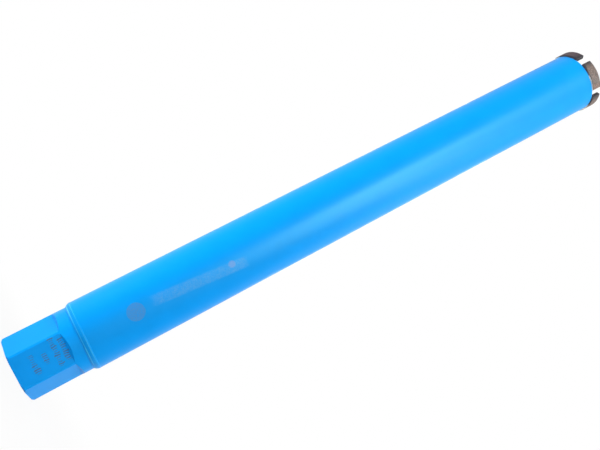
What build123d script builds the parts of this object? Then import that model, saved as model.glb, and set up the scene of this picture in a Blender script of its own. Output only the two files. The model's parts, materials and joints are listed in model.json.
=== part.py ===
from build123d import *
import math
import os

# Wet diamond core bit, in millimetres, standing on its hub.
# The origin is the centre of the hub's rear face and +Z runs along the axis to the crown.
# One wrench flat and segment_1 are both centred on -Y.

# Barrel: seamless steel tube
barrel_od = 50.0
barrel_wall = 2.0
barrel_length = 460.0
weld_bevel = 1.0            # 45 degree weld preparation round the barrel's rear edge

# Hub: one round bar, turned, milled with wrench flats and tapped 1-1/4"-7
hub_length = 48.0           # rear face to the shoulder that the barrel butts against
hub_shoulder = 0.25         # how far the bar stands outside the barrel's bore
across_flats = 41.0
flat_length = 36.0          # full-depth part of each flat, measured from the rear face
flat_count = 6
runout_angle = 55.0         # slope on which each flat runs out into the bar
rear_chamfer = 1.2          # 45 degree chamfer turned on the rear end
spigot_length = 10.0
spigot_clearance = 0.05     # radial gap between spigot and barrel bore
spigot_lead = 1.0           # 45 degree lead-in on the spigot's front edge

# Thread and water way, bored from the rear face
thread_major = 31.75
thread_depth = 34.0
thread_height = 1.96        # depth of the internal thread, from its root to its crest
mouth_chamfer = 0.8         # how much wider than the thread the countersunk mouth is, on the radius
tap_drill_depth = 38.0
drill_point_angle = 118.0
water_bore = 20.0

# Weld: one fillet run round the joint
weld_leg = 2.2              # length of the bead along the hub
weld_crown = 0.35           # how far the bead bulges outside the straight line between its toes

# Crown: sintered diamond segments on the barrel's front end
segment_count = 5
segment_length = 24.0       # along the middle of the segment's thickness
segment_thickness = 3.5
segment_height = 9.0
segment_proud = 1.0         # how far a segment stands outside the barrel
segment_edge = 0.4          # bevel on a segment's front and end edges

barrel_radius = barrel_od / 2
bore_radius = barrel_radius - barrel_wall
hub_radius = bore_radius + hub_shoulder
barrel_front = hub_length + barrel_length
thread_radius = thread_major / 2
tap_radius = thread_radius - thread_height
water_radius = water_bore / 2
segment_outer = barrel_radius + segment_proud
segment_inner = segment_outer - segment_thickness
segment_pitch = 360 / segment_count
segment_angle = math.degrees(segment_length / (segment_outer - segment_thickness / 2))


def turned(outline, angle=360):
    """Solid swept about Z by a closed outline in the radius-height plane."""
    return revolve(make_face(Plane.XZ * outline), Axis.Z, angle)


def hub():
    """Bar, spigot, threaded bore and water bore in one turning, then six milled flats."""
    spigot_radius = bore_radius - spigot_clearance
    spigot_front = hub_length + spigot_length
    drill_point = (tap_radius - water_radius) / math.tan(math.radians(drill_point_angle / 2))
    body = turned(Polyline(
        (thread_radius + mouth_chamfer, 0),
        (hub_radius - rear_chamfer, 0),
        (hub_radius, rear_chamfer),
        (hub_radius, hub_length),
        (spigot_radius, hub_length),
        (spigot_radius, spigot_front - spigot_lead),
        (spigot_radius - spigot_lead, spigot_front),
        (water_radius, spigot_front),
        (water_radius, tap_drill_depth + drill_point),
        (tap_radius, tap_drill_depth),
        (tap_radius, thread_depth),
        (thread_radius, thread_depth),
        (thread_radius, mouth_chamfer),
        close=True,
    ))
    return body - PolarLocations(0, flat_count, start_angle=-90) * flat_cutter()


def flat_cutter():
    """What the mill takes off one flat on the +X side, with its sloping run-out."""
    flat_radius = across_flats / 2
    outside = 2 * hub_radius
    runout = (outside - flat_radius) / math.tan(math.radians(runout_angle))
    side = make_face(Plane.XZ * Polyline(
        (flat_radius, -hub_radius),
        (outside, -hub_radius),
        (outside, flat_length + runout),
        (flat_radius, flat_length),
        close=True,
    ))
    return extrude(side, hub_radius, both=True)


def barrel_tube():
    """Plain tube, bevelled outside at the rear for the weld."""
    return turned(Polyline(
        (bore_radius, hub_length),
        (barrel_radius - weld_bevel, hub_length),
        (barrel_radius, hub_length + weld_bevel),
        (barrel_radius, barrel_front),
        (bore_radius, barrel_front),
        close=True,
    ))


def weld_bead():
    """Fillet between the hub's bar and the barrel's bevelled end, with a convex face."""
    hub_toe = Vector(hub_radius, hub_length - weld_leg)
    barrel_toe = Vector(barrel_radius, hub_length + weld_bevel)
    along = (barrel_toe - hub_toe).normalized()
    crown = (hub_toe + barrel_toe) / 2 + Vector(along.Y, -along.X) * weld_crown
    face = ThreePointArc(hub_toe, crown, barrel_toe)
    root = Polyline(
        barrel_toe,
        (barrel_radius - weld_bevel, hub_length),
        (hub_radius, hub_length),
        hub_toe,
    )
    return turned(face + root)


def segment(index):
    """One curved block with radial ends, seated on the barrel's front end."""
    block = turned(Polyline(
        (segment_inner, barrel_front),
        (segment_outer, barrel_front),
        (segment_outer, barrel_front + segment_height),
        (segment_inner, barrel_front + segment_height),
        close=True,
    ), segment_angle)
    exposed = block.edges().filter_by(Axis.Z) + block.edges().group_by(Axis.Z)[-1]
    block = chamfer(exposed, segment_edge)
    return Rot(0, 0, index * segment_pitch - 90 - segment_angle / 2) * block


pieces = {"hub": hub(), "barrel_tube": barrel_tube(), "weld_bead": weld_bead()}
for index in range(segment_count):
    pieces[f"segment_{index + 1}"] = segment(index)

os.makedirs("parts", exist_ok=True)
for name, piece in pieces.items():
    export_step(piece, f"parts/{name}.step")
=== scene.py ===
import json
import math
import random

import bmesh
import bpy
from mathutils import Matrix, Vector, noise


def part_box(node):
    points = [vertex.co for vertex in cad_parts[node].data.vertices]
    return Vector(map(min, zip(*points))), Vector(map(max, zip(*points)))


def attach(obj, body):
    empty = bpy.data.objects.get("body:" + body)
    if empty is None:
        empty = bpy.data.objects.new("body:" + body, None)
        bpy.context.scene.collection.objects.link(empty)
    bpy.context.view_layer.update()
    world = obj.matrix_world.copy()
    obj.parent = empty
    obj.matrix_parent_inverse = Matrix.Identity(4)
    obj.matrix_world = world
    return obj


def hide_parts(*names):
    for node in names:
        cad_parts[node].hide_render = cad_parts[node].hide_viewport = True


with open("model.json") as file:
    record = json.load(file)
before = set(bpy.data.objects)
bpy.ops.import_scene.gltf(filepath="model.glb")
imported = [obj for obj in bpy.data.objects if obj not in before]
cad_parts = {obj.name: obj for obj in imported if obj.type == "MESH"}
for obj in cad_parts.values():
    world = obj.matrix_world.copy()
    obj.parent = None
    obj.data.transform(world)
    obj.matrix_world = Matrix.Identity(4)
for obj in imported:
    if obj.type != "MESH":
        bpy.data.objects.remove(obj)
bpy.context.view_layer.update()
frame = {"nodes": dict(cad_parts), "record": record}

mm = 0.001


# ---- Hub ------------------------------------------------------------------------------------
# The drive hub is one steel bar, turned, milled with six wrench flats, and bored for the drill's
# spindle. It is sprayed with blue enamel once the barrel is welded on, and its masked bore stays
# bare steel. Rows of small strokes are engraved through the enamel on one flat.

hub_edge_radius = 0.3 * mm
hub_edge_angle = math.radians(20)       # edges sharper than this are rounded
hub_shoulder_height = 48 * mm
wrench_flat_distance = 20.5 * mm
spindle_mount = frame["record"]["mounts"][0]
thread_radius = spindle_mount["dims"]["r_mm"] * mm
mouth_chamfer = 0.8 * mm
mouth_spray_reach = 3 * mm              # how far stray spray reaches into the bore

enamel_blue = (0.001, 0.295, 0.81, 1)
enamel_roughness = 0.38
enamel_specular = 0.175
enamel_specular_tint = (0.36, 1.0, 1.0, 1)

etched_colour = (0.07, 0.065, 0.09, 1)
etched_depth = 0.02 * mm
stroke_pitch = 1.5 * mm
engraved_rows = (   # height on the flat, middle, length, height of the strokes, seed
    (13.4 * mm, 0.3 * mm, 13.8 * mm, 4.6 * mm, 0.2),
    (21.3 * mm, -0.5 * mm, 8.0 * mm, 3.9 * mm, 31.6),
    (28.6 * mm, -0.8 * mm, 21.6 * mm, 4.2 * mm, 57.1),
    (34.2 * mm, -0.4 * mm, 15.5 * mm, 4.0 * mm, 83.4))

clean_steel = (0.42, 0.41, 0.40, 1)
oiled_steel = (0.22, 0.20, 0.18, 1)
bore_feed = 0.12 * mm                   # the turning tool's travel in each turn
tool_mark_depth = 0.01 * mm


def made(tree, kind, inputs=None, **settings):
    """Adds a shader node, with its settings and the values or links of its inputs."""
    item = tree.nodes.new(kind)
    for setting, value in settings.items():
        setattr(item, setting, value)
    for socket, value in (inputs or {}).items():
        if isinstance(value, bpy.types.NodeSocket):
            tree.links.new(value, item.inputs[socket])
        else:
            item.inputs[socket].default_value = value
    return item


def maths(tree, operation, first, second=0.0):
    """The output of one Math node."""
    return made(tree, "ShaderNodeMath", {0: first, 1: second}, operation=operation).outputs[0]


def product(tree, *factors):
    """All the factors multiplied."""
    result = factors[0]
    for factor in factors[1:]:
        result = maths(tree, 'MULTIPLY', result, factor)
    return result


def distance_from(tree, value, middle):
    """How far a value is from a middle one, on either side."""
    return maths(tree, 'ABSOLUTE', maths(tree, 'SUBTRACT', value, middle))


def between(tree, value, low, high, start=0.0, end=1.0):
    """A smooth step of a value from low to high, given out from start to end."""
    limits = {"Value": value, "From Min": low, "From Max": high, "To Min": start, "To Max": end}
    step = made(tree, "ShaderNodeMapRange", limits, interpolation_type='SMOOTHSTEP')
    return step.outputs["Result"]


def blended(tree, mask, below, above):
    """The colour below, covered by the colour above as far as the mask says."""
    mixed = made(tree, "ShaderNodeMix", {0: mask, 6: below, 7: above}, data_type='RGBA')
    return mixed.outputs[2]


def mottle(tree, vector, scale, detail, roughness=0.5):
    """The output of one Noise texture."""
    grain = {"Vector": vector, "Scale": scale, "Detail": detail, "Roughness": roughness}
    return made(tree, "ShaderNodeTexNoise", grain).outputs[0]


def split(tree, vector):
    """The X, Y and Z of a vector."""
    return made(tree, "ShaderNodeSeparateXYZ", {0: vector}).outputs


def length_of(tree, vector):
    """The length of a vector."""
    return made(tree, "ShaderNodeVectorMath", {0: vector}, operation='LENGTH').outputs["Value"]


def shader_group(name, inputs, outputs):
    """A new node group, the values that it is given and the sockets of its result."""
    group = bpy.data.node_groups.new(name, 'ShaderNodeTree')
    for socket, kind in inputs.items():
        group.interface.new_socket(socket, in_out='INPUT', socket_type=f"NodeSocket{kind}")
    for socket, kind in outputs.items():
        group.interface.new_socket(socket, in_out='OUTPUT', socket_type=f"NodeSocket{kind}")
    given = group.nodes.new("NodeGroupInput").outputs
    return group, given, group.nodes.new("NodeGroupOutput").inputs


def placed(tree, group, **inputs):
    """The outputs of a group placed in a material."""
    return made(tree, "ShaderNodeGroup", inputs, node_tree=group).outputs


def new_material(name):
    """A material, its node tree, its Principled shader and its Object coordinates."""
    material = bpy.data.materials.new(name)
    material.use_nodes = True
    tree = material.node_tree
    coordinates = tree.nodes.new("ShaderNodeTexCoord").outputs["Object"]
    return material, tree, tree.nodes["Principled BSDF"], coordinates


def dressed(tree, shader, colour, roughness, height, depth):
    """Links a surface's colour, roughness and relief, of the given depth in metres, to its shader."""
    relief = made(tree, "ShaderNodeBump", {"Height": height, "Distance": depth, "Strength": 1.0})
    tree.links.new(colour, shader.inputs["Base Color"])
    tree.links.new(roughness, shader.inputs["Roughness"])
    tree.links.new(relief.outputs[0], shader.inputs["Normal"])


# Sprayed enamel: a faint cloudiness in its colour, and the orange peel of a spray gun.
sprayed, given, result = shader_group(
    "sprayed_enamel",
    {"Vector": "Vector", "Colour": "Color", "Cloudiness": "Float", "Roughness": "Float"},
    {"Colour": "Color", "Roughness": "Float", "Relief": "Float"})
clouds = mottle(sprayed, given["Vector"], 55.0, 4.0, 0.6)
swing = product(sprayed, maths(sprayed, 'SUBTRACT', clouds, 0.5), given["Cloudiness"])
tinted = made(sprayed, "ShaderNodeVectorMath",
              {0: given["Colour"], "Scale": maths(sprayed, 'ADD', swing, 1.0)}, operation='SCALE')
sprayed.links.new(tinted.outputs[0], result["Colour"])
sprayed.links.new(maths(sprayed, 'ADD', given["Roughness"], product(sprayed, swing, 0.5)),
                  result["Roughness"])
sprayed.links.new(mottle(sprayed, given["Vector"], 900.0, 1.0, 0.4), result["Relief"])

# Turned steel: fine rings round the axis on bores and faces alike, with a light film of oil.
turned, given, result = shader_group(
    "turned_steel",
    {"Vector": "Vector", "Feed": "Float"},
    {"Colour": "Color", "Roughness": "Float", "Relief": "Float"})
outward = made(turned, "ShaderNodeVectorMath", {0: given["Vector"], 1: (1, 1, 0)},
               operation='MULTIPLY').outputs[0]
tool_travel = maths(turned, 'ADD', length_of(turned, outward), split(turned, given["Vector"])["Z"])
rings = made(turned, "ShaderNodeTexNoise",
             {"W": maths(turned, 'DIVIDE', tool_travel, given["Feed"]), "Scale": 1.0, "Detail": 2.0},
             noise_dimensions='1D').outputs[0]
oil = between(turned, mottle(turned, given["Vector"], 120.0, 4.0), 0.35, 0.7)
turned.links.new(blended(turned, oil, clean_steel, oiled_steel), result["Colour"])
turned.links.new(between(turned, rings, 0.3, 0.7, 0.28, 0.5), result["Roughness"])
turned.links.new(rings, result["Relief"])

# Spray that drifted past a mask: it thins out over a distance, with a speckled edge.
drifted, given, result = shader_group(
    "drifted_spray",
    {"Vector": "Vector", "Distance": "Float", "Reach": "Float"}, {"Mask": "Float"})
speckle = mottle(drifted, given["Vector"], 1500.0, 3.0, 0.7)
shift = product(drifted, maths(drifted, 'SUBTRACT', speckle, 0.5), 1.6)
faded = maths(drifted, 'ADD', maths(drifted, 'DIVIDE', given["Distance"], given["Reach"]), shift)
drifted.links.new(between(drifted, faded, 0.4, 0.9, 1.0, 0.0), result["Mask"])

# A row of engraved strokes: uneven in width, height, level and lean, like hand-set tally strokes,
# with soft worn edges.
strokes, given, result = shader_group(
    "engraved_strokes",
    {"Along": "Float", "Across": "Float", "Length": "Float", "Height": "Float", "Pitch": "Float",
     "Wobble": "Float", "Seed": "Float"}, {"Mask": "Float"})
sway = product(strokes, given["Pitch"], maths(strokes, 'SUBTRACT', given["Wobble"], 0.5))
swayed = maths(strokes, 'ADD', given["Along"], sway)
cell = maths(strokes, 'ADD', maths(strokes, 'DIVIDE', swayed, given["Pitch"]), given["Seed"])
chance = made(strokes, "ShaderNodeTexWhiteNoise", {"W": maths(strokes, 'FLOOR', cell)},
              noise_dimensions='1D').outputs
chances = made(strokes, "ShaderNodeSeparateColor", {0: chance["Color"]}).outputs
half_width = between(strokes, chance["Value"], 0.0, 1.0, 0.1, 0.3)
off_middle = distance_from(strokes, maths(strokes, 'FRACT', cell), 0.5)
inked = between(strokes, maths(strokes, 'SUBTRACT', off_middle, half_width), -0.1, 0.12, 1.0, 0.0)
half_height = product(strokes, given["Height"], between(strokes, chances[0], 0.0, 1.0, 0.3, 0.5))
lift = product(strokes, given["Height"], between(strokes, chances[1], 0.0, 1.0, -0.1, 0.1))
rise = maths(strokes, 'DIVIDE', distance_from(strokes, given["Across"], lift), half_height)
in_height = between(strokes, rise, 0.8, 1.15, 1.0, 0.0)
in_length = maths(strokes, 'LESS_THAN', maths(strokes, 'ABSOLUTE', given["Along"]),
                  product(strokes, given["Length"], 0.5))
strokes.links.new(product(strokes, inked, in_height, in_length), result["Mask"])


def enamelled(name, cloudiness=0.12):
    """A material of sprayed blue enamel, with its tree, shader, coordinates and group outputs."""
    material, tree, shader, coordinates = new_material(name)
    shader.inputs["Specular IOR Level"].default_value = enamel_specular
    shader.inputs["Specular Tint"].default_value = enamel_specular_tint
    coat = placed(tree, sprayed, Vector=coordinates, Colour=enamel_blue, Cloudiness=cloudiness,
                  Roughness=enamel_roughness)
    return material, tree, shader, coordinates, coat


hub_enamel, tree, shader, coordinates, coat = enamelled("hub_enamel")
place = split(tree, coordinates)
wobble = mottle(tree, coordinates, 420.0, 2.0)
engraving = 0.0
for row_height, row_middle, row_length, stroke_height, seed in engraved_rows:
    row = placed(tree, strokes, Along=maths(tree, 'SUBTRACT', place["X"], row_middle),
                 Across=maths(tree, 'SUBTRACT', place["Z"], row_height), Length=row_length,
                 Height=stroke_height, Pitch=stroke_pitch, Wobble=wobble, Seed=seed)
    engraving = maths(tree, 'MAXIMUM', engraving, row["Mask"])
on_flat = maths(tree, 'LESS_THAN', place["Y"], -wrench_flat_distance + 0.1 * mm)
wear = between(tree, mottle(tree, coordinates, 2500.0, 2.0), 0.3, 0.65, 0.4, 0.85)
engraving = product(tree, engraving, on_flat, wear)
dressed(tree, shader, blended(tree, engraving, coat["Colour"], etched_colour),
        maths(tree, 'ADD', coat["Roughness"], product(tree, engraving, 0.2)),
        maths(tree, 'SUBTRACT', coat["Relief"], engraving), etched_depth)

bore_steel, tree, shader, coordinates = new_material("hub_bore_steel")
steel = placed(tree, turned, Vector=coordinates, Feed=bore_feed)
spray = placed(tree, drifted, Vector=coordinates, Distance=split(tree, coordinates)["Z"],
               Reach=mouth_spray_reach)
tree.links.new(maths(tree, 'SUBTRACT', 1.0, spray["Mask"]), shader.inputs["Metallic"])
dressed(tree, shader, blended(tree, spray["Mask"], steel["Colour"], enamel_blue),
        steel["Roughness"], steel["Relief"], tool_mark_depth)


def in_scene(item):
    """The object, now in the scene's own collection."""
    bpy.context.scene.collection.objects.link(item)
    return item


def as_piece(surface, name, materials, slot, *replaced):
    """Makes a piece of the object from a bmesh, with its materials and replaced nodes. The slot is
    not used.
    """
    mesh = bpy.data.meshes.new(name)
    surface.to_mesh(mesh)
    surface.free()
    for material in materials:
        mesh.materials.append(material)
    piece = in_scene(bpy.data.objects.new(name, mesh))
    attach(piece, "root")
    if replaced:
        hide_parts(*replaced)
    return piece


def shaded_smooth(surface):
    """Shades all faces of a bmesh smooth."""
    for face in surface.faces:
        face.smooth = True


hub = bmesh.new()
hub.from_mesh(frame["nodes"]["hub"].data)
bmesh.ops.remove_doubles(hub, verts=hub.verts, dist=0.001 * mm)
bmesh.ops.dissolve_limit(hub, angle_limit=math.radians(0.5), verts=hub.verts, edges=hub.edges)
sharp_edges = [edge for edge in hub.edges if edge.calc_face_angle(0) > hub_edge_angle]
bmesh.ops.bevel(hub, geom=sharp_edges, offset=hub_edge_radius, offset_type='OFFSET', segments=2,
                profile=0.5, affect='EDGES', material=-1, clamp_overlap=True)
shaded_smooth(hub)
for face in hub.faces:
    middle = face.calc_center_median()
    in_bore = middle.xy.length < thread_radius + mouth_chamfer - 0.05 * mm
    in_barrel = middle.z > hub_shoulder_height
    face.material_index = 1 if in_bore or in_barrel else 0
hub_body = as_piece(hub, "hub_body", [hub_enamel, bore_steel], "blue_paint", "hub")
hub_body.modifiers.new("even_normals", 'WEIGHTED_NORMAL')


# ---- Spindle thread -------------------------------------------------------------------------
# The hub's bore is tapped with a coarse right-hand thread, 1 1/4 inch with 7 turns to the inch.
# Its ridge is bare cut steel and runs from the countersunk mouth to the end of the tapped depth.

thread_pitch = 25.4 / 7 * mm
thread_height = 1.96 * mm
thread_depth = 34 * mm
crest_width = thread_pitch / 4
root_width = thread_pitch * 7 / 8
root_sunk = 0.05 * mm           # the ridge's root lies this deep in the bore's wall
steps_per_turn = 72
thread_feed = 0.2 * mm

ridge = bmesh.new()
ridge_profile = [
    ridge.verts.new((thread_radius + root_sunk, 0, -root_width / 2)),
    ridge.verts.new((thread_radius - thread_height, 0, -crest_width / 2)),
    ridge.verts.new((thread_radius - thread_height, 0, crest_width / 2)),
    ridge.verts.new((thread_radius + root_sunk, 0, root_width / 2))]
ridge_start = ridge.faces.new(ridge_profile)
turns = math.ceil(thread_depth / thread_pitch) + 1
bmesh.ops.spin(ridge, geom=[ridge_start], cent=(0, 0, 0), axis=(0, 0, 1),
               dvec=(0, 0, thread_pitch / steps_per_turn), angle=turns * math.tau,
               steps=turns * steps_per_turn)
for cut_height, cut_away in ((thread_depth, (0, 0, 1)), (mouth_chamfer, (0, 0, -1))):
    bmesh.ops.bisect_plane(ridge, geom=ridge.verts[:] + ridge.edges[:] + ridge.faces[:],
                           plane_co=(0, 0, cut_height), plane_no=cut_away, clear_outer=True)
bmesh.ops.holes_fill(ridge, edges=[edge for edge in ridge.edges if edge.is_boundary], sides=0)
for corner in ridge.verts:
    countersink = thread_radius + mouth_chamfer - corner.co.z
    radius = corner.co.xy.length
    if radius < countersink:
        corner.co.xy *= countersink / radius
ridge.normal_update()
bmesh.ops.recalc_face_normals(ridge, faces=ridge.faces)

thread_steel, tree, shader, coordinates = new_material("cut_thread_steel")
shader.inputs["Metallic"].default_value = 1.0
steel = placed(tree, turned, Vector=coordinates, Feed=thread_feed)
dressed(tree, shader, steel["Colour"], steel["Roughness"], steel["Relief"], tool_mark_depth)
as_piece(ridge, "spindle_thread", [thread_steel], "bare_steel")


# ---- Weld bead ------------------------------------------------------------------------------
# One weld, laid while the work turns, joins the hub's shoulder to the barrel. It is steel under
# the same enamel, with pale lines painted along the bead's toe and crest as highlights, and its
# puddles show as a fine ripple.

puddle_pitch = 1.9 * mm
puddle_height = 0.09 * mm
puddle_bow = 2.6                # how far the ripple lags at the bead's edges, in radians
puddle_unevenness = 150         # swings in the puddles' height along a metre of bead
bead_run_off = 0.7 * mm         # the ring of weld sits out of square to the axis by this much
bead_drop = 0.2 * mm
toe_wander = 0.2 * mm
toe_unevenness = 5
bead_steps = 480
bead_radius = 25.1 * mm
bead_middle = hub_shoulder_height - 0.4 * mm
bead_half_width = 2.1 * mm
bead_profile = (                # radius, height over the shoulder: from the hub to the barrel
    (23.2, -2.7), (23.42, -2.45), (23.9, -1.95), (24.3, -1.4), (24.6, -0.75), (24.83, -0.15),
    (25.02, 0.4), (25.12, 0.95), (25.1, 1.4), (24.98, 1.8), (24.5, 1.6), (23.2, -1.0))
bead_cloudiness = 0.16
bead_peel_depth = 0.02 * mm
# Painted highlights: pale lines along the bead's toe and crest, where its curves would catch the
# light.
bead_highlight_blue = (0.10, 0.66, 0.90, 1)
painted_highlight_lines = (                # height over the shoulder, half width, strength
    (-1.8 * mm, 0.55 * mm, 0.75),
    (0.7 * mm, 0.4 * mm, 0.5))


def ring_of_edges(surface, points):
    """Joins each point of a bmesh to the next, and the last to the first."""
    return [surface.edges.new(pair) for pair in zip(points, points[1:] + points[:1])]


bead = bmesh.new()
bead_points = [bead.verts.new((radius * mm, 0, hub_shoulder_height + height * mm))
               for radius, height in bead_profile]
bead_outline = ring_of_edges(bead, bead_points)
bmesh.ops.spin(bead, geom=bead_points + bead_outline, cent=(0, 0, 0), axis=(0, 0, 1),
               angle=math.tau, steps=bead_steps, use_merge=True)
bmesh.ops.recalc_face_normals(bead, faces=bead.faces)
puddles = round(math.tau * bead_radius / puddle_pitch)
for point in bead.verts:
    angle = math.atan2(point.co.y, point.co.x)
    reach = (point.co.z - bead_middle) / bead_half_width
    ripple = math.cos(puddles * angle + puddle_bow * reach * reach)
    unevenness = 0.6 + 0.4 * noise.noise(point.co * puddle_unevenness)
    swell = max(0.0, 1 - reach * reach) * puddle_height * unevenness
    around = Vector((math.cos(angle), math.sin(angle), reach * 0.2)) * toe_unevenness
    point.co.xy *= 1 + swell * (ripple - 1) / point.co.xy.length
    point.co.z += toe_wander * noise.noise(around) * abs(reach)
    point.co.z -= bead_run_off * math.cos(angle) + bead_drop
shaded_smooth(bead)

bead_enamel, tree, shader, coordinates, coat = enamelled("bead_enamel", bead_cloudiness)
place = split(tree, coordinates)
level = maths(tree, 'ADD', place["Z"], product(tree, place["X"], bead_run_off / bead_radius))
# The painted highlight lines along the bead's toe and crest, made patchy.
painted_highlights = 0.0
for line_height, line_half_width, strength in painted_highlight_lines:
    off_line = distance_from(tree, level, hub_shoulder_height + line_height)
    line = between(tree, off_line, 0.1 * mm, line_half_width, strength, 0.0)
    painted_highlights = maths(tree, 'MAXIMUM', painted_highlights, line)
patchy = between(tree, mottle(tree, coordinates, 60.0, 2.0), 0.35, 0.65, 0.3, 1.0)
dressed(tree, shader, blended(tree, product(tree, painted_highlights, patchy), coat["Colour"], bead_highlight_blue),
        coat["Roughness"], coat["Relief"], bead_peel_depth)
as_piece(bead, "weld_bead_ring", [bead_enamel], "blue_paint", "weld_bead")


# ---- Barrel ---------------------------------------------------------------------------------
# The barrel is drawn steel tube, square cut at the crown and bevelled at the weld. Its outside is
# sprayed blue, and its bore is bare, dark from rolling, with drifted spray inside the mouth. A
# stippled disc, a long soft band and a small spot are printed on it in thin ink.

barrel_low, barrel_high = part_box("barrel_tube")
barrel_rear, barrel_front = barrel_low.z, barrel_high.z
barrel_radius = 25 * mm
bore_radius = 23 * mm
barrel_bevel = 1 * mm
rim_rounding = 0.25 * mm
barrel_steps = 180
barrel_rings = 24
barrel_peel_depth = 0.015 * mm
rim_spray_reach = 14 * mm
rolling_feed = 1.5 * mm
mill_scale = (0.06, 0.05, 0.045, 1)

disc_height, disc_arc, disc_radius, disc_edge = 85.5 * mm, -0.6 * mm, 6.6 * mm, 0.4 * mm
disc_ink, disc_cover = (0.13, 0.17, 0.30, 1), 0.45
band_middle, band_arc, band_skew = 134 * mm, 1 * mm, 0.08
band_length, band_width = 70 * mm, 7.6 * mm
band_ink, band_cover = (0.40, 0.50, 0.55, 1), 0.15
spot_height, spot_arc, spot_radius = 159 * mm, 0.7 * mm, 2.6 * mm
spot_ink, spot_cover = (0.55, 0.32, 0.42, 1), 0.2
# A painted highlight: a pale line along the rim's rounded front edge, where it catches the light.
rim_highlight_blue, rim_highlight_cover = (0.42, 0.60, 0.65, 1), 0.8
rim_highlight_start, rim_highlight_end = barrel_front - 0.45 * mm, barrel_front - 0.2 * mm

barrel = bmesh.new()
barrel_profile = (
    (bore_radius, barrel_rear), (barrel_radius - barrel_bevel, barrel_rear),
    (barrel_radius, barrel_rear + barrel_bevel), (barrel_radius, barrel_front),
    (bore_radius, barrel_front))
barrel_points = [barrel.verts.new((radius, 0, height)) for radius, height in barrel_profile]
ring_of_edges(barrel, barrel_points)
bmesh.ops.bevel(barrel, geom=barrel_points[3:], offset=rim_rounding, offset_type='OFFSET',
                segments=4, profile=0.5, affect='VERTICES', material=-1)
long_sides = [edge for edge in barrel.edges if edge.calc_length() > 100 * mm]
bmesh.ops.subdivide_edges(barrel, edges=long_sides, cuts=barrel_rings)
bmesh.ops.spin(barrel, geom=barrel.verts[:] + barrel.edges[:], cent=(0, 0, 0), axis=(0, 0, 1),
               angle=math.tau, steps=barrel_steps, use_merge=True)
bmesh.ops.recalc_face_normals(barrel, faces=barrel.faces)
shaded_smooth(barrel)
for face in barrel.faces:
    inside = face.calc_center_median().xy.length < bore_radius + 0.1 * mm
    face.material_index = 1 if inside else 0


def bearing_of(tree, place):
    """The angle round the axis from -Y, positive towards +X."""
    return maths(tree, 'ARCTAN2', place["X"], product(tree, place["Y"], -1.0))


def reach_on_barrel(tree, place, arc, height, arc_place):
    """The distance over the barrel's surface from a point at a height and a place along the arc."""
    apart = {0: maths(tree, 'SUBTRACT', place["Z"], height),
             1: maths(tree, 'SUBTRACT', arc, arc_place)}
    return length_of(tree, made(tree, "ShaderNodeCombineXYZ", apart).outputs[0])


barrel_enamel, tree, shader, coordinates, coat = enamelled("barrel_enamel")
place = split(tree, coordinates)
arc = product(tree, bearing_of(tree, place), barrel_radius)
stipple = mottle(tree, coordinates, 1300.0, 3.0, 0.7)
disc = product(
    tree,
    between(tree, reach_on_barrel(tree, place, arc, disc_height, disc_arc),
            disc_radius - disc_edge, disc_radius, disc_cover, 0.0),
    between(tree, stipple, 0.4, 0.62, 0.5, 1.0))
along_band = maths(tree, 'SUBTRACT', place["Z"], band_middle)
band_line = maths(tree, 'ADD', product(tree, along_band, band_skew), band_arc)
band = product(
    tree,
    between(tree, distance_from(tree, arc, band_line),
            band_width * 0.35, band_width * 0.65, band_cover, 0.0),
    between(tree, maths(tree, 'ABSOLUTE', along_band),
            band_length * 0.46, band_length * 0.54, 1.0, 0.0),
    between(tree, stipple, 0.38, 0.62, 0.35, 1.0),
    between(tree, mottle(tree, coordinates, 260.0, 3.0), 0.35, 0.65, 0.6, 1.0))
spot = between(tree, reach_on_barrel(tree, place, arc, spot_height, spot_arc),
               spot_radius * 0.7, spot_radius * 1.2, spot_cover, 0.0)
# The painted highlight along the rim's rounded front edge.
rim = between(tree, place["Z"], rim_highlight_start, rim_highlight_end, 0.0, rim_highlight_cover)
printed = coat["Colour"]
for mask, ink in ((disc, disc_ink), (band, band_ink), (spot, spot_ink), (rim, rim_highlight_blue)):
    printed = blended(tree, mask, printed, ink)
dressed(tree, shader, printed, coat["Roughness"], coat["Relief"], barrel_peel_depth)

scaled_bore, tree, shader, coordinates = new_material("barrel_bore_steel")
steel = placed(tree, turned, Vector=coordinates, Feed=rolling_feed)
scale_film = between(tree, mottle(tree, coordinates, 90.0, 5.0), 0.35, 0.65)
from_front = maths(tree, 'SUBTRACT', barrel_front, split(tree, coordinates)["Z"])
spray = placed(tree, drifted, Vector=coordinates, Distance=from_front, Reach=rim_spray_reach)
tree.links.new(product(tree, maths(tree, 'SUBTRACT', 1.0, spray["Mask"]), 0.8),
               shader.inputs["Metallic"])
dark_steel = blended(tree, scale_film, steel["Colour"], mill_scale)
dressed(tree, shader, blended(tree, spray["Mask"], dark_steel, enamel_blue), steel["Roughness"],
        steel["Relief"], tool_mark_depth)
barrel_body = as_piece(barrel, "barrel_body", [barrel_enamel, scaled_bore], "blue_paint",
                       "barrel_tube")
barrel_body.modifiers.new("even_normals", 'WEIGHTED_NORMAL')


# ---- Crown ----------------------------------------------------------------------------------
# Five segments of sintered metal powder and diamond grit are brazed to the barrel's square end,
# a little proud of it on both sides. The braze left dark flux at their feet and leading ends. The
# segments on the crown's -X side are darker and purpler, and each is darker below its crest and on
# its trailing end face. The grit stands out as small half-sunk grains.

segment_count = 5
segment_low, segment_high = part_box("segment_1")
foot, crest = segment_low.z, segment_high.z
segment_height = crest - foot
segment_thickness = 3.5 * mm
segment_length = 24 * mm
segment_rounding = 0.45 * mm
segment_cuts = (50, 9, 20)      # along its length, through its thickness and up its height
mid_radius = -segment_low.y - segment_thickness / 2
segment_turn = math.tau / segment_count

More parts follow.
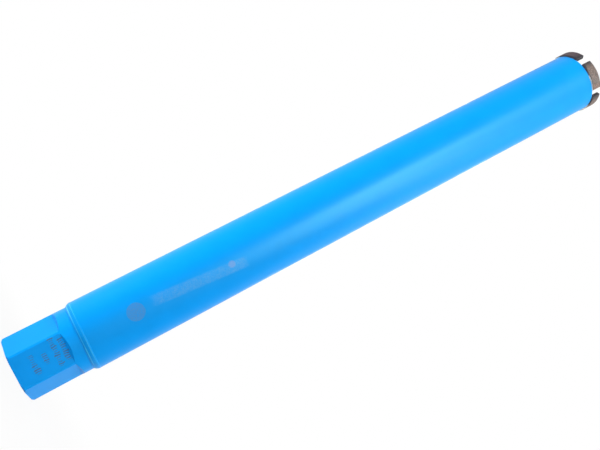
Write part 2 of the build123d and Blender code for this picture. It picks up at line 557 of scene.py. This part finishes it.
sinter_roughness = 0.06 * mm
sinter_lumps = 900              # lumps along a metre of the surface
sinter_pore_depth = 0.08 * mm
even_foot = 0.1 * mm            # up to this height a segment keeps its even foot
grainless_foot = 1.2 * mm       # up to this height it has no grains
grit_proud = 0.07 * mm
grains_per_segment = 70
grain_sizes = (0.11 * mm, 0.24 * mm)

bronze_dark, bronze_pale = (0.052, 0.038, 0.034, 1), (0.25, 0.18, 0.145, 1)
iron_grey = (0.13, 0.12, 0.115, 1)
copper_tint = (0.34, 0.19, 0.16, 1)
dark_purple = (0.035, 0.022, 0.042, 1)
flux_and_darkening_black = (0.012, 0.013, 0.02, 1)
foot_flux = 0.35 * mm           # how high the flux stands, and how much higher at one end
end_flux = 1.9 * mm
flux_edge_wander = 2.2 * mm
flux_edge_blur = 0.7 * mm
crest_darkening_start, crest_darkening_end = segment_height - 0.9 * mm, segment_height - 0.2 * mm
diamond_dark, diamond_pale = (0.14, 0.12, 0.07, 1), (0.34, 0.32, 0.26, 1)

# A place on a segment: from -1 at the end that the flux ran to, up to 1 at its other end, with
# the height above its foot and the side of the crown, 1 or -1.
segment_place, given, result = shader_group(
    "segment_place", {"Vector": "Vector"},
    {"Toward": "Float", "Height": "Float", "Side": "Float"})
place = split(segment_place, given["Vector"])
bearing = bearing_of(segment_place, place)
turns_round = maths(segment_place, 'ADD',
                    maths(segment_place, 'DIVIDE', bearing, segment_turn), 0.5)
from_middle = maths(segment_place, 'SUBTRACT', maths(segment_place, 'FRACT', turns_round), 0.5)
turned_back = maths(segment_place, 'LESS_THAN', bearing, -segment_turn / 2)
side = maths(segment_place, 'SUBTRACT', 1.0, product(segment_place, turned_back, 2.0))
toward = product(segment_place, from_middle, segment_turn * 2 * mid_radius / segment_length, side)
segment_place.links.new(toward, result["Toward"])
segment_place.links.new(side, result["Side"])
segment_place.links.new(maths(segment_place, 'SUBTRACT', place["Z"], foot), result["Height"])

sintered, tree, shader, coordinates = new_material("sintered_segment")
shader.inputs["Specular IOR Level"].default_value = 0.3
powder = mottle(tree, coordinates, 1100.0, 6.0, 0.75)
patches = mottle(tree, coordinates, 130.0, 3.0)
seat = placed(tree, segment_place, Vector=coordinates)
bronze = blended(tree, between(tree, powder, 0.36, 0.66), bronze_dark, bronze_pale)
bronze = blended(tree, between(tree, patches, 0.42, 0.7, 0.0, 0.5), bronze, iron_grey)
copper = product(tree, between(tree, seat["Toward"], 0.35, 1.0, 0.0, 0.5),
                 between(tree, powder, 0.4, 0.6))
bronze = blended(tree, copper, bronze, copper_tint)
# The segments on the crown's -X side are made darker and purpler.
side_darkening = product(tree, between(tree, seat["Side"], -1.0, 1.0, 0.8, 0.0),
               between(tree, patches, 0.35, 0.65, 0.7, 1.0))
bronze = blended(tree, side_darkening, bronze, dark_purple)
flux_edge = maths(
    tree, 'ADD', between(tree, seat["Toward"], -1.0, -0.15, foot_flux + end_flux, foot_flux),
    product(tree, maths(tree, 'SUBTRACT', patches, 0.5), flux_edge_wander))
above_flux = maths(tree, 'SUBTRACT', seat["Height"], flux_edge)
foot_stain = between(tree, above_flux, -flux_edge_blur, flux_edge_blur, 0.95, 0.0)
# Darker below the crest and on the trailing end face.
crest_darkening = between(tree, seat["Height"], crest_darkening_start, crest_darkening_end, 0.0, 0.55)
leading_face = between(tree, seat["Toward"], -0.985, -0.965, 0.85, 0.0)
leading_stain = between(tree, seat["Toward"], -1.0, -0.45, 0.88, 0.0)
trailing_face = between(tree, seat["Toward"], 0.965, 0.985, 0.0, 0.55)
# The flux stains and this darkening, joined in one mask.
stains_and_darkening = foot_stain
for next_mark in (crest_darkening, leading_face, leading_stain, trailing_face):
    stains_and_darkening = maths(tree, 'MAXIMUM', stains_and_darkening, next_mark)
dressed(tree, shader, blended(tree, stains_and_darkening, bronze, flux_and_darkening_black),
        between(tree, powder, 0.3, 0.7, 0.55, 0.8), powder, sinter_pore_depth)

diamond, tree, shader, coordinates = new_material("diamond_grit")
shader.inputs["Roughness"].default_value = 0.25
shade = between(tree, mottle(tree, coordinates, 900.0, 1.0), 0.4, 0.6)
tree.links.new(blended(tree, shade, diamond_dark, diamond_pale), shader.inputs["Base Color"])


def rounded_segment(turn):
    """A block with rounded edges and a square foot, bent round the axis at a turn from -Y."""
    block = bmesh.new()
    bmesh.ops.create_cube(block, size=1)
    for axis, cuts in enumerate(segment_cuts):
        parallel = [edge for edge in block.edges
                    if abs((edge.verts[0].co - edge.verts[1].co).normalized()[axis]) > 0.9]
        bmesh.ops.subdivide_edges(block, edges=parallel, cuts=cuts, use_grid_fill=True)
    half = Vector((segment_length / 2 - grit_proud, segment_thickness / 2 - grit_proud,
                   (segment_height - grit_proud) / 2))
    core = half - Vector((segment_rounding, segment_rounding, segment_rounding))
    for corner in block.verts:
        at = Vector(corner.co[axis] * 2 * half[axis] for axis in range(3))
        nearest = Vector(max(-core[axis], min(core[axis], at[axis])) for axis in range(3))
        if at.z < 0:
            nearest.z = at.z
        away = at - nearest
        if away.length > segment_rounding:
            at = nearest + away.normalized() * segment_rounding
        bend = turn + at.x / mid_radius
        radius = mid_radius + at.y
        corner.co = (math.sin(bend) * radius, -math.cos(bend) * radius, foot + half.z + at.z)
    block.normal_update()
    bmesh.ops.recalc_face_normals(block, faces=block.faces)
    block.normal_update()
    return block


def strew_grit(block, draw):
    """Sinks diamond grains in a segment's faces above its foot, at places drawn by chance."""
    ground_faces = [face for face in block.faces
                    if face.calc_center_median().z > foot + grainless_foot]
    seats = [(face.calc_center_median(), face.normal.copy())
             for face in draw.sample(ground_faces, grains_per_segment)]
    for seat_point, outward in seats:
        size = draw.uniform(*grain_sizes)
        turned_grain = Matrix.Rotation(draw.uniform(0, math.tau), 4, Vector(
            (draw.uniform(-1, 1), draw.uniform(-1, 1), draw.uniform(0.1, 1))))
        grain = bmesh.ops.create_icosphere(block, subdivisions=1, radius=size, matrix=(
            Matrix.Translation(seat_point - outward * (size - grit_proud * 0.8)) @ turned_grain))
        for face in {face for corner in grain["verts"] for face in corner.link_faces}:
            face.material_index = 1


for index in range(segment_count):
    block = rounded_segment(segment_turn * index)
    for corner in block.verts:
        if corner.co.z > foot + even_foot:
            lump = noise.fractal(corner.co * sinter_lumps + Vector((0, 0, index * 7)), 0.8, 2.0, 3)
            corner.co -= corner.normal * sinter_roughness * (0.5 + 0.5 * lump)
    shaded_smooth(block)
    strew_grit(block, random.Random(40 + index))
    as_piece(block, f"diamond_segment_{index + 1}", [sintered, diamond], "diamond_segment",
             f"segment_{index + 1}")


# ---- Braze ----------------------------------------------------------------------------------
# Silver braze ran out under each segment's overhang and froze there as a thin bright fillet on
# the barrel's outer corner. It is dark with flux towards the end that the flux ran to.

braze_profile = (   # radius, height over the segments' feet: along the fillet, back in the joint
    (24.98, -0.55), (25.08, -0.35), (25.28, -0.18), (25.7, -0.08), (25.7, 0.1), (24.98, 0.1))
braze_length = 23.2 * mm
braze_steps = 40
braze_wander = 0.12 * mm
braze_ripples = 420             # swings along a metre
braze_relief_depth = 0.05 * mm
alloy_grey, alloy_yellow = (0.45, 0.58, 0.60, 1), (0.70, 0.67, 0.55, 1)
drowned_blue = (0.012, 0.02, 0.04, 1)

silver_braze, tree, shader, coordinates = new_material("silver_braze")
seat = placed(tree, segment_place, Vector=coordinates)
run = mottle(tree, coordinates, braze_ripples, 3.0)
alloy = blended(tree, between(tree, run, 0.35, 0.65), alloy_grey, alloy_yellow)
from_flux = maths(tree, 'ADD', seat["Toward"],
                  product(tree, maths(tree, 'SUBTRACT', run, 0.5), 0.7))
# On the crown's -X side the braze is darker further along.
from_flux = maths(tree, 'SUBTRACT', from_flux, between(tree, seat["Side"], -1.0, 1.0, 0.8, 0.0))
drowned = between(tree, from_flux, -0.35, 0.1, 1.0, 0.0)
dressed(tree, shader, blended(tree, drowned, alloy, drowned_blue),
        between(tree, run, 0.3, 0.7, 0.35, 0.55), run, braze_relief_depth)

braze = bmesh.new()
braze_angle = braze_length / mid_radius
for index in range(segment_count):
    start = segment_turn * index - braze_angle / 2 - math.pi / 2
    braze_end = braze.faces.new([braze.verts.new((
        math.cos(start) * radius * mm, math.sin(start) * radius * mm, foot + height * mm))
        for radius, height in braze_profile])
    bmesh.ops.spin(braze, geom=[braze_end], cent=(0, 0, 0), axis=(0, 0, 1), angle=braze_angle,
                   steps=braze_steps)
bmesh.ops.recalc_face_normals(braze, faces=braze.faces)
for point in braze.verts:
    if point.co.z < foot - 0.1 * mm:
        point.co.z += braze_wander * noise.noise(point.co * braze_ripples)
shaded_smooth(braze)
as_piece(braze, "braze_fillets", [silver_braze], "bare_steel")


# ---- Stage ----------------------------------------------------------------------------------
# The bit stands on a plain pale floor before a white background, under soft studio lamps. Some
# of the lamps light only its matt colours and others only its gloss.

camera_bearing = math.radians(-6.117)
camera_distance = 0.52431
camera_height = 0.05974
camera_lens = 42.97
camera_sensor = 36
camera_aim = Vector((0.00104, -0.00011, 0.22485))
climb = math.radians(27.45)     # how steeply the bit climbs across the view
lamp_aim = Vector((0, 0, 0.26))
studio_light = 0.13
floor_grey = (0.5, 0.5, 0.5, 1)
floor_radius = 3.0
shadow_start, shadow_reach = 0.03, 0.35
shadow_depth = 0.1


def stood_off(bearing, distance, height):
    """A place at a bearing from -Y, a distance from the axis and a height."""
    return Vector((math.sin(bearing) * distance, -math.cos(bearing) * distance, height))


def aimed(place, target):
    """The transform of a camera or lamp at a place, looking towards a target."""
    return Matrix.Translation(place) @ (target - place).to_track_quat('-Z', 'Y').to_matrix().to_4x4()


camera = in_scene(bpy.data.objects.new("camera", bpy.data.cameras.new("camera")))
camera.data.lens = camera_lens
camera.data.sensor_width = camera_sensor
camera.matrix_world = (aimed(stood_off(camera_bearing, camera_distance, camera_height), camera_aim)
                       @ Matrix.Rotation(math.pi / 2 - climb, 4, 'Z'))
bpy.context.scene.camera = camera


def seen_or_reflected(tree):
    """1 for camera, glossy and transmission rays, and 0 for the rays that light the object."""
    path = tree.nodes.new("ShaderNodeLightPath").outputs
    return maths(tree, 'MAXIMUM', path["Is Camera Ray"],
                 maths(tree, 'MAXIMUM', path["Is Glossy Ray"], path["Is Transmission Ray"]))


studio = bpy.data.worlds.new("studio")
studio.use_nodes = True
bpy.context.scene.world = studio
tree = studio.node_tree
backdrop = tree.nodes["Background"].inputs
backdrop["Color"].default_value = (1, 1, 1, 1)
tree.links.new(between(tree, seen_or_reflected(tree), 0.0, 1.0, studio_light, 1.0),
               backdrop["Strength"])

floor_disc = bmesh.new()
bmesh.ops.create_circle(floor_disc, cap_ends=True, segments=96, radius=floor_radius)
floor = in_scene(bpy.data.objects.new("floor", bpy.data.meshes.new("floor")))
floor_disc.to_mesh(floor.data)
floor_disc.free()
pale_floor, tree, shader, coordinates = new_material("pale_floor")
shader.inputs["Base Color"].default_value = floor_grey
shader.inputs["Roughness"].default_value = 0.8
white = made(tree, "ShaderNodeEmission", {"Strength": 1.0}).outputs[0]
lit_floor = between(tree, length_of(tree, coordinates), shadow_start, shadow_reach,
                    1 - shadow_depth, 1.0)
surface = made(tree, "ShaderNodeMixShader",
               {0: product(tree, seen_or_reflected(tree), lit_floor), 1: shader.outputs[0], 2: white})
tree.links.new(surface.outputs[0], tree.nodes["Material Output"].inputs["Surface"])
floor.data.materials.append(pale_floor)


def softbox(name, bearing, height, distance, size, power, lights='BOTH'):
    """A rectangular lamp at a bearing in degrees from the camera's, aimed at the middle of the bit.
    It lights the matt colours, the gloss, or both."""
    lamp = in_scene(bpy.data.objects.new(name, bpy.data.lights.new(name, 'AREA')))
    lamp.data.shape = 'RECTANGLE'
    lamp.data.size, lamp.data.size_y = size
    lamp.data.energy = power
    lamp.visible_glossy = lights != 'COLOUR'
    lamp.visible_diffuse = lights != 'GLOSS'
    turn = camera_bearing + math.radians(bearing)
    lamp.matrix_world = aimed(stood_off(turn, distance, height), lamp_aim)


softbox("low_key", -82, 0.08, 0.6, (0.34, 0.14), 4.0, 'COLOUR')
softbox("overhead", -12, 1.3, 0.5, (0.5, 0.5), 5.2, 'COLOUR')
softbox("front_glow", 0, 0.3, 0.7, (0.4, 0.4), 0.4, 'COLOUR')
softbox("main_glow", 12, 0.78, 0.65, (0.4, 0.4), 4.3, 'COLOUR')
softbox("side_glow", 104, 0.5, 0.7, (0.4, 0.4), 4.4, 'COLOUR')
softbox("gleam_1", 5, 0.84, 1.2, (0.25, 0.4), 14.0, 'GLOSS')
softbox("gleam_2", 18, 0.74, 1.2, (0.25, 0.4), 12.5, 'GLOSS')
softbox("gleam_3", 35, 0.8, 1.2, (0.25, 0.4), 11.0, 'GLOSS')
softbox("gleam_4", 50, 0.9, 1.2, (0.25, 0.4), 5.0, 'GLOSS')
softbox("gleam_5", 70, 1.0, 1.2, (0.6, 0.4), 4.2, 'GLOSS')
softbox("gleam_6", 100, 0.9, 1.2, (0.6, 0.4), 0.9, 'GLOSS')
softbox("back_fill", 175, 0.7, 1.0, (0.7, 0.7), 6.0)

bpy.context.scene.view_settings.view_transform = 'Standard'
